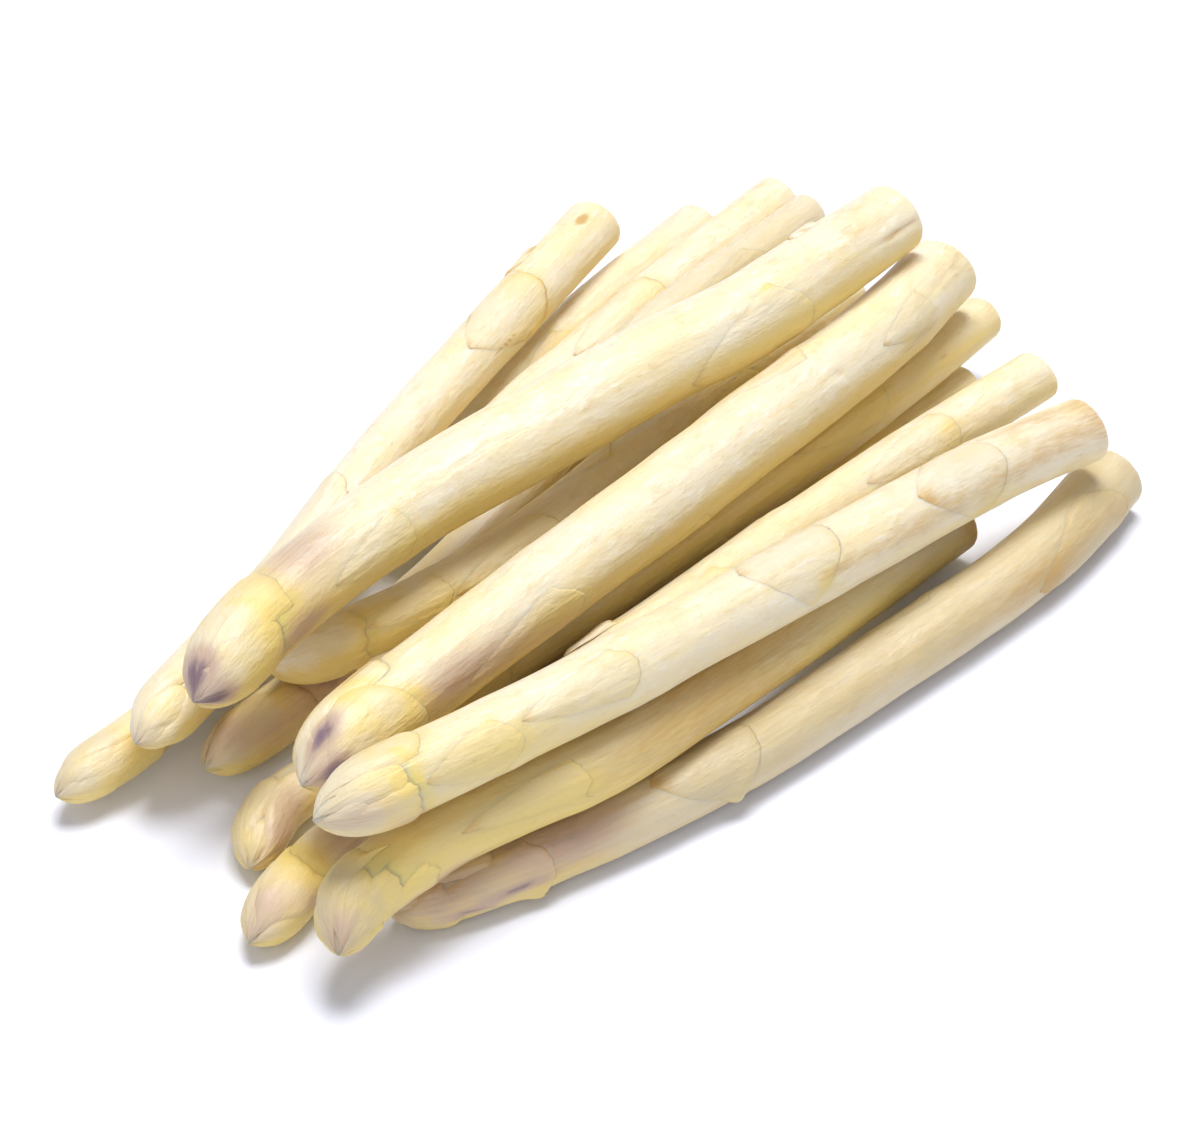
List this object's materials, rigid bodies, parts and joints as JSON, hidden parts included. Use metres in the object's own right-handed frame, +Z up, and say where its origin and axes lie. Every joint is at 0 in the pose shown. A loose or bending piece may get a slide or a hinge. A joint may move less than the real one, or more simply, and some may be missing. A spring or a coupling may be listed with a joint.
{
  "type": "bundle of asparagus",
  "caption": "Loose heap of white asparagus spears with cut butts and closed scaly heads, lying side by side and on one another.",
  "frame": {"origin": "centre of the heap's outline on the surface it lies on", "axes": "+X towards the cut butts along the spears' mean direction, +Y towards the rear spears, +Z up"},
  "size_m": [0.2516, 0.1546, 0.0594],
  "materials": {
    "asparagus_flesh": "satin, fine ribs along the stem"
  },
  "bodies": {
    "root": {"spear_front_floor": "asparagus_flesh", "spear_front_crossing": "asparagus_flesh", "spear_middle_inner": "asparagus_flesh", "spear_rear_under": "asparagus_flesh", "spear_front_inner": "asparagus_flesh", "spear_middle_floor": "asparagus_flesh", "spear_rear_floor": "asparagus_flesh", "spear_rear_middle": "asparagus_flesh", "spear_rear_inner": "asparagus_flesh", "spear_slim_upper": "asparagus_flesh", "spear_top_middle": "asparagus_flesh", "spear_front_under": "asparagus_flesh", "spear_rear_left": "asparagus_flesh", "spear_top_front": "asparagus_flesh", "spear_top_rear": "asparagus_flesh"}
  },
  "joints": []
}
